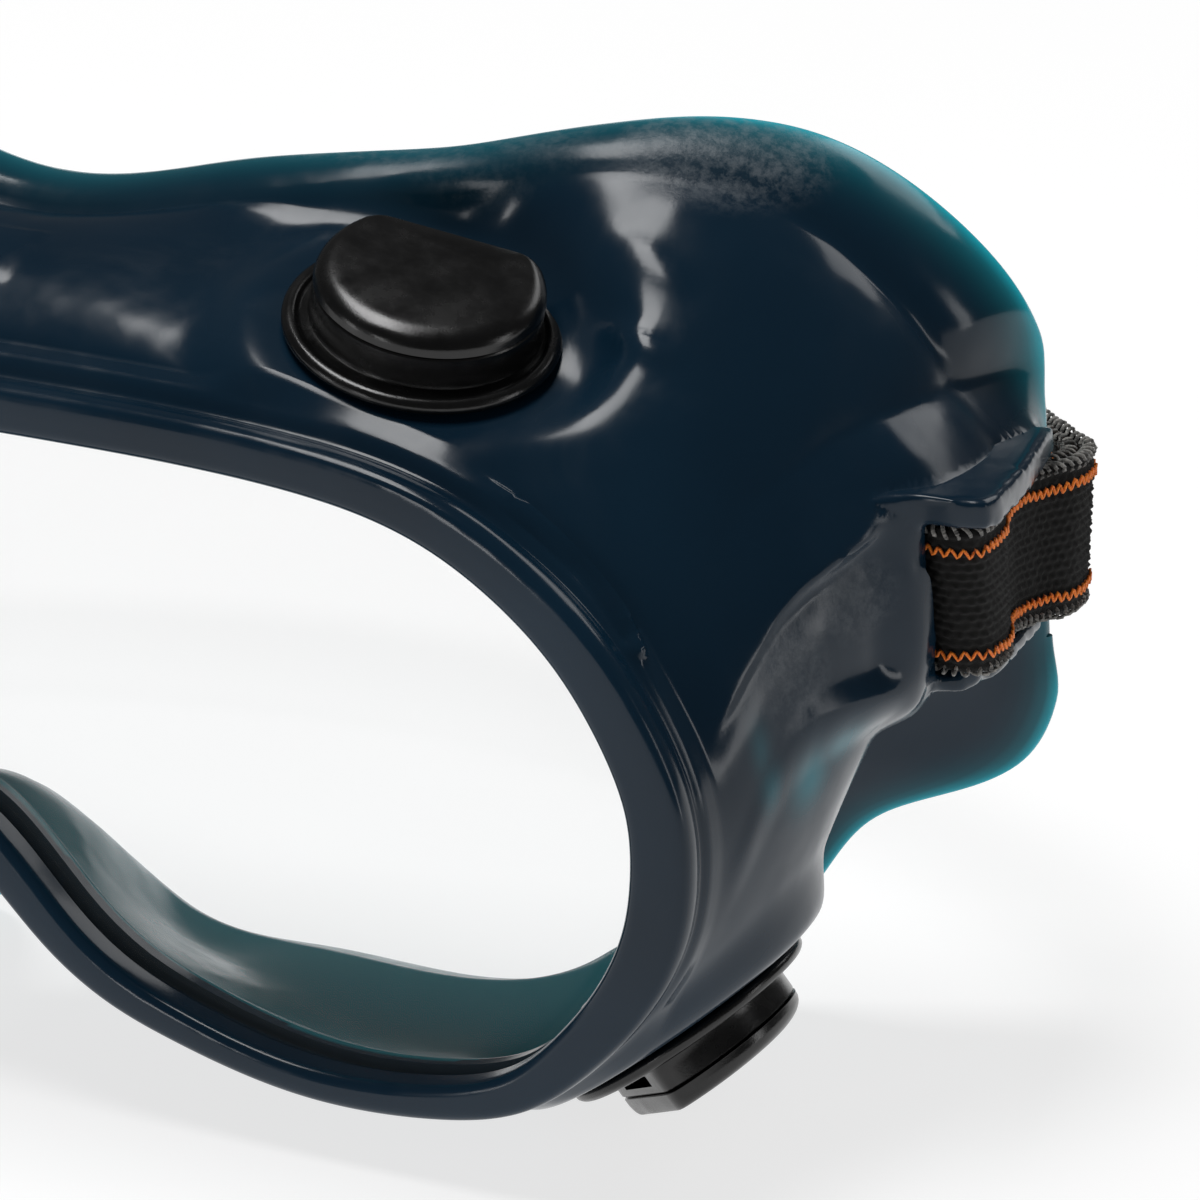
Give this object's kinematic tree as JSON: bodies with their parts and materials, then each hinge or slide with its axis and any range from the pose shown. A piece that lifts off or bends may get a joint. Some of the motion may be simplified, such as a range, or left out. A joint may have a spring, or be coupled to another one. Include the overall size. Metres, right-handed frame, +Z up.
{
  "type": "welding goggles",
  "caption": "Cover goggles with a flexible moulded body, clear one-piece lens, hooded turning vents and an adjustable elastic headband.",
  "frame": {"origin": "bottom centre of the box of the whole object, which is the ground under the goggles", "axes": "-Y is the way the wearer looks, +Z up, +X to the right as seen from the front"},
  "size_m": [0.1824, 0.099, 0.0855],
  "materials": {
    "navy_pvc": "glossy flexible PVC, dark navy, teal where light comes through a thin edge",
    "clear_polycarbonate": "clear polished sheet",
    "black_plastic": "satin black moulding",
    "black_elastic": "black woven elastic with an orange zigzag thread along each edge"
  },
  "bodies": {
    "goggles": {"goggle_body": "navy_pvc", "lens": "clear_polycarbonate", "strap_loop_right": "black_elastic", "strap_loop_left": "black_elastic"},
    "vent_top_right": {"vent_base_top_right": "black_plastic", "vent_lid_top_right": "black_plastic"},
    "vent_top_left": {"vent_base_top_left": "black_plastic", "vent_lid_top_left": "black_plastic"},
    "vent_bottom_right": {"vent_base_bottom_right": "black_plastic", "vent_lid_bottom_right": "black_plastic"},
    "vent_bottom_left": {"vent_base_bottom_left": "black_plastic", "vent_lid_bottom_left": "black_plastic"},
    "headband": {"headband": "black_elastic", "strap_return_right": "black_elastic", "strap_return_left": "black_elastic"},
    "slider": {"strap_slider": "black_plastic"}
  },
  "joints": [
    {"name": "vent_top_right_turn", "type": "hinge", "parent": "goggles", "child": "vent_top_right", "pos_m": [0.043, -0.03149, 0.07163], "axis": [0.231, -0.1908, 0.9541], "continuous": true},
    {"name": "vent_top_left_turn", "type": "hinge", "parent": "goggles", "child": "vent_top_left", "pos_m": [-0.043, -0.03149, 0.07163], "axis": [-0.231, -0.1908, 0.9541], "continuous": true},
    {"name": "vent_bottom_right_turn", "type": "hinge", "parent": "goggles", "child": "vent_bottom_right", "pos_m": [0.0663, -0.02753, 0.01087], "axis": [0.6217, 0.0401, -0.7822], "continuous": true},
    {"name": "vent_bottom_left_turn", "type": "hinge", "parent": "goggles", "child": "vent_bottom_left", "pos_m": [-0.0663, -0.02753, 0.01087], "axis": [-0.6217, 0.0401, -0.7822], "continuous": true},
    {"name": "headband_swing", "type": "hinge", "parent": "goggles", "child": "headband", "pos_m": [0, -0.01353, 0.04907], "axis": [1, 0, 0], "range_deg": [-25, 34]},
    {"name": "slider_travel", "type": "hinge", "parent": "headband", "child": "slider", "pos_m": [0, -0.07159, 0.05802], "axis": [0, 0.1219, 0.9925], "range_deg": [-15, 8]}
  ]
}
